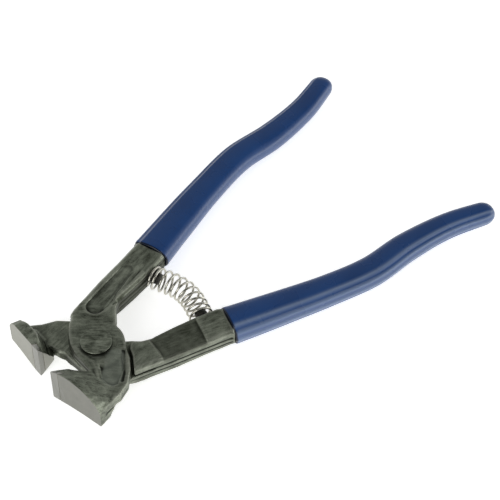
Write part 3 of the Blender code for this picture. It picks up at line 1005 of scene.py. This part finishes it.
def forged_steel(name, grain_angle, arm_angle):
    """Dark, faintly green forged steel: blotched, brushed along its length, rubbed paler on its edges, darker
    on the milled flat, with painted shade in its corners, on the arm's inner wall and on the hub's left wall,
    and a painted highlight on the neck's panel.
    """
    m = Nodes(name)
    wear_and_shade = m.attribute("wear_and_shade")
    blotches = m.noise(130.0, 6.0, 0.65)
    hub_streaks = m.noise(850.0, 6.0, 0.75, m.stretched(grain_angle, BRUSHED))
    arm_streaks = m.noise(850.0, 6.0, 0.75, m.stretched(arm_angle, BRUSHED))
    along = m.node("ShaderNodeSeparateXYZ", Vector=m.place).outputs["X"]
    streaks = m.blend_values(m.ramp(along, 0.010, 0.017), hub_streaks, arm_streaks)
    pits = m.noise(2600.0, 4.0, 0.6)
    tone = m.ramp(m.sum((blotches, 0.9), (streaks, 1.0), (pits, 0.4)), 0.93, 1.36)
    color = m.mix(tone, STEEL_DARK, STEEL_LIGHT)
    color = m.mix(m.ramp(wear_and_shade, 0.6, 0.9, 0.0, 0.35), color, STEEL_RUBBED)
    # painted shade: crevices and inside corners are darkened nearly to black
    color = m.mix(m.ramp(wear_and_shade, 0.47, 0.2, 0.0, 0.95), color, PAINTED_SHADE)
    shade = m.attribute("shade")
    # the milled flat is darker steel; the arm's inner wall and the hub's left wall get painted shade
    color = m.mix(m.ramp(shade, 0.0, -1.0), color, STEEL_MILLED_AND_SHADED)
    # painted highlight on the neck's panel
    color = m.mix(m.ramp(shade, 0.0, 1.0), color, STEEL_PAINTED_HIGHLIGHT)
    roughness = m.ramp(m.sum((blotches, 0.6), (streaks, 0.4)), 0.35, 0.65, 0.38, 0.54)
    m.bump(m.sum((streaks, 0.5), (pits, 0.35), (blotches, 0.8)), 0.00016, 0.8)
    return m.surface(Base_Color=color, Metallic=0.92, Roughness=roughness)


def ground_steel(name, tone):
    """Freshly ground steel: pale, matt, with fine parallel lines."""
    m = Nodes(name)
    lines = m.noise(2600.0, 3.0, 0.6, m.stretched(0.0, (1.0, 1.0, 0.05)))
    clouds = m.noise(240.0, 3.0, 0.5)
    shade = m.ramp(m.sum((lines, 0.6), (clouds, 0.5)), 0.35, 0.75)
    dark = tuple(tone * v for v in GROUND_DARK)
    light = tuple(tone * v for v in GROUND_LIGHT)
    m.bump(lines, 0.00003, 0.7)
    roughness = m.ramp(lines, 0.3, 0.7, 0.36, 0.5)
    return m.surface(Base_Color=m.mix(shade, dark, light), Metallic=0.85, Roughness=roughness)


def rivet_steel():
    """The rivet's brushed steel, with painted shade on the steep sides of its head."""
    m = Nodes("rivet_head_steel")
    streaks = m.noise(850.0, 6.0, 0.75, m.stretched(HUB_GRAIN, BRUSHED))
    blotches = m.noise(170.0, 5.0, 0.6)
    tone = m.ramp(m.sum((blotches, 0.8), (streaks, 1.0)), 0.76, 1.06)
    m.bump(m.sum((streaks, 0.6), (blotches, 0.8)), 0.00014, 0.8)
    roughness = m.ramp(streaks, 0.3, 0.7, 0.38, 0.5)
    upright = m.node("ShaderNodeSeparateXYZ", Vector=m.facing).outputs["Z"]
    # painted shade: the head's steep sides are darkened nearly to black
    steep = m.ramp(m.size_of(upright), 0.8, 0.3)
    color = m.mix(steep, m.mix(tone, STEEL_DARK, STEEL_LIGHT), PAINTED_SHADE)
    return m.surface(Base_Color=color, Metallic=0.92, Roughness=roughness)


def blue_plastisol():
    """Glossy deep-blue dip: faint flow lines, a painted pale sheen on the -Y sides and rib crests, painted
    shade in the mouth.
    """
    m = Nodes("blue_dip")
    flow = m.noise(90.0, 3.0, 0.5, m.stretched(18.0, (0.12, 1.0, 1.0)))
    cloud = m.noise(60.0, 3.0, 0.55)
    tone = m.ramp(m.sum((flow, 0.5), (cloud, 0.6)), 0.35, 0.75)
    color = m.mix(tone, DIP_DARK, DIP_LIGHT)
    across = m.node("ShaderNodeSeparateXYZ", Vector=m.facing).outputs["Y"]
    # painted sheen: the sides that face -Y are paled, as a reflection of the bright floor
    color = m.mix(m.ramp(across, -0.4, -0.8, 0.0, 0.55), color, DIP_PAINTED_SHEEN)
    # painted sheen: the rib crests on the -Y sides are paled
    crest = m.blend_values(m.ramp(across, 0.15, -0.25), 0.0, m.attribute("crest"))
    color = m.mix(crest, color, DIP_PAINTED_CREST_SHEEN)
    # painted shade: the hollow and the mouth's inner lip are darkened nearly to black
    color = m.mix(m.attribute("mouth"), color, DIP_PAINTED_HOLLOW_SHADE)
    m.bump(flow, 0.0002, 0.4)
    roughness = m.ramp(cloud, 0.3, 0.7, 0.22, 0.32)
    return m.surface(Base_Color=color, Roughness=roughness, IOR=1.41)


def carbide():
    """Fine-grained carbide with grinding lines."""
    m = Nodes("carbide_insert")
    grain = m.noise(5200.0, 3.0, 0.6)
    lines = m.noise(2400.0, 2.0, 0.5, m.stretched(0.0, (1.0, 1.0, 0.04)))
    color = m.mix(m.ramp(m.sum((grain, 0.5), (lines, 0.5)), 0.35, 0.65), CARBIDE_DARK, CARBIDE_LIGHT)
    m.bump(m.sum((grain, 0.3), (lines, 0.7)), 0.00002, 0.6)
    return m.surface(Base_Color=color, Metallic=0.9, Roughness=m.ramp(grain, 0.3, 0.7, 0.28, 0.4))


def braze():
    """Dull, lumpy filler metal."""
    m = Nodes("braze_filler")
    lumps = m.noise(900.0, 3.0, 0.6)
    color = m.mix(m.ramp(lumps, 0.35, 0.65), BRAZE_DARK, BRAZE_LIGHT)
    m.bump(lumps, 0.00008, 0.8)
    return m.surface(Base_Color=color, Metallic=0.95, Roughness=m.ramp(lumps, 0.3, 0.7, 0.3, 0.5))


def nickel_wire():
    """Bright plated wire with drawing lines."""
    m = Nodes("nickel_wire")
    drawn = m.noise(2200.0, 3.0, 0.6, m.stretched(0.0, (1.0, 0.2, 1.0)))
    patches = m.noise(260.0, 3.0, 0.6)
    color = m.mix(m.ramp(patches, 0.35, 0.65), NICKEL_DARK, NICKEL_LIGHT)
    m.bump(drawn, 0.00002, 0.5)
    return m.surface(Base_Color=color, Metallic=1.0, Roughness=m.ramp(drawn, 0.3, 0.7, 0.16, 0.3))


def black_oxide():
    """Blackened steel, rubbed a little paler in patches."""
    m = Nodes("black_oxide")
    rubs = m.noise(700.0, 4.0, 0.6)
    color = m.mix(m.ramp(rubs, 0.45, 0.7), OXIDE_DARK, OXIDE_RUBBED)
    m.bump(rubs, 0.00006, 0.7)
    return m.surface(Base_Color=color, Metallic=0.75, Roughness=m.ramp(rubs, 0.3, 0.7, 0.36, 0.55))


def studio_white():
    """A matt white floor that glows a little, as a light table does."""
    m = Nodes("studio_floor")
    shade = m.ramp(m.noise(6.0, 3.0, 0.5), 0.3, 0.7)
    white = m.mix(shade, FLOOR_DARK, FLOOR_LIGHT)
    return m.surface(Base_Color=white, Roughness=0.9, Emission_Color=white, Emission_Strength=FLOOR_GLOW)


# ---------------------------------------------------------------- stage, light and camera


FLOOR_GAP = 0.0004
FLOOR_HALF_SIZE = 2.5
FLOOR_SEGMENTS = 24
SWEEP_FROM = 1.2
SWEEP_CURVE = 0.02
CEILING_FRONT = 0.07
CEILING_BACK = 0.5
BEHIND = (0.66, 0.75, 0.0)
HORIZON_COLOR = (0.985, 1.0, 0.985, 1.0)
LIGHT_TARGET = Vector((0.07, 0.0, 0.0))
LIGHTS = (  # name, place, size and power
    ("key", (-1.15, -0.35, 0.75), (1.2, 1.0), 10.0),
    ("side", (1.05, -1.05, 0.36), (1.9, 0.6), 8.0),
    ("strip", (0.38, -0.4, 1.1), (0.6, 0.2), 0.8),
)
CAMERA_AZIMUTH = -41.3
CAMERA_ELEVATION = 49.9
CAMERA_DISTANCE = 0.7513
CAMERA_LENS = 126.6
CAMERA_AIM = Vector((0.0823, -0.0007, LAP_PLANE + 0.0002))


def floor():
    """A wide floor just under the tool's lowest point, that rises far off as a shallow sweep."""
    low = min(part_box(node)[0].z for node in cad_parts) - FLOOR_GAP
    bm = bmesh.new()
    bmesh.ops.create_grid(bm, x_segments=FLOOR_SEGMENTS, y_segments=FLOOR_SEGMENTS, size=FLOOR_HALF_SIZE)
    for vert in bm.verts:
        vert.co.z = low + SWEEP_CURVE * max(0.0, vert.co.length - SWEEP_FROM) ** 2
    obj = new_object("studio_floor", mesh_from("studio_floor", bm))
    obj.data.materials.append(studio_white())
    obj.data.shade_smooth()


def area_light(name, place, size, power):
    light = bpy.data.lights.new(name, "AREA")
    light.shape = "RECTANGLE"
    light.size, light.size_y = size
    light.energy = power
    obj = new_object(name, light)
    obj.location = place
    obj.rotation_euler = (LIGHT_TARGET - obj.location).to_track_quat("-Z", "Y").to_euler()


def studio_world():
    """A white horizon under a dim ceiling that is lighter behind the tool than towards the camera."""
    world = bpy.data.worlds.new("studio")
    world.use_nodes = True
    tree = world.node_tree

    def ramp(value, low, high, out_low, out_high):
        made = tree.nodes.new("ShaderNodeMapRange")
        made.interpolation_type = "SMOOTHSTEP"
        tree.links.new(value, made.inputs["Value"])
        for key, number in zip(("From Min", "From Max", "To Min", "To Max"), (low, high, out_low, out_high)):
            made.inputs[key].default_value = number
        return made.outputs["Result"]

    direction = tree.nodes.new("ShaderNodeTexCoord").outputs["Generated"]
    split = tree.nodes.new("ShaderNodeSeparateXYZ")
    tree.links.new(direction, split.inputs[0])
    turned = tree.nodes.new("ShaderNodeVectorMath")
    turned.operation = "DOT_PRODUCT"
    tree.links.new(direction, turned.inputs[0])
    turned.inputs[1].default_value = BEHIND
    ceiling = ramp(turned.outputs["Value"], -0.2, 0.7, CEILING_FRONT, CEILING_BACK)
    horizon = ramp(split.outputs["Z"], 0.12, 0.36, 1.0, 0.0)
    strength = tree.nodes.new("ShaderNodeMath")
    strength.operation = "MAXIMUM"
    tree.links.new(ceiling, strength.inputs[0])
    tree.links.new(horizon, strength.inputs[1])
    background = tree.nodes["Background"]
    background.inputs["Color"].default_value = HORIZON_COLOR
    tree.links.new(strength.outputs[0], background.inputs["Strength"])
    bpy.context.scene.world = world


def studio():
    studio_world()
    for light in LIGHTS:
        area_light(*light)
    bpy.context.scene.view_settings.view_transform = "Standard"


def camera():
    """Looks down at the whole tool from beside its jaws."""
    azimuth, elevation = math.radians(CAMERA_AZIMUTH), math.radians(CAMERA_ELEVATION)
    back = Vector((
        math.sin(azimuth) * math.cos(elevation),
        -math.cos(azimuth) * math.cos(elevation),
        math.sin(elevation),
    ))
    data = bpy.data.cameras.new("camera")
    data.sensor_width = 36.0
    data.lens = CAMERA_LENS
    data.clip_start = 0.01
    obj = new_object("camera", data)
    obj.location = CAMERA_AIM + back * CAMERA_DISTANCE
    obj.rotation_euler = (-back).to_track_quat("-Z", "Y").to_euler()
    bpy.context.scene.camera = obj


# ---------------------------------------------------------------- the tool


def build():
    insert, filler = carbide(), braze()
    front_steel = forged_steel("forged_steel_front", HUB_GRAIN, 16.0)
    rear_steel = forged_steel("forged_steel_rear", 12.0, -16.0)
    # lit and shaded copies of one ground steel: the rear jaw's face is painted lighter as a painted
    # reflection, the front's darker as painted shade
    front_ground = ground_steel("ground_front_jaw", 0.9)
    rear_ground = ground_steel("ground_rear_jaw", 1.4)
    lever_half("front", FRONT_JAW, False, front_steel, front_ground, insert, filler)
    lever_half("rear", REAR_JAW, True, rear_steel, rear_ground, insert, filler)

    pivot_rivet(rivet_steel())
    oxide, dip = black_oxide(), blue_plastisol()
    for side, rear, peg_x in (("front", False, SPRING_FRONT_X), ("rear", True, SPRING_REAR_X)):
        body = side + "_lever"
        spring_peg(side + "_peg", side + "_spring_peg", body, peg_x, rear, oxide)
        grip_sleeve(side + "_dip", side + "_grip", body, rear, dip)
    return_spring(nickel_wire())


build()
floor()
studio()
camera()
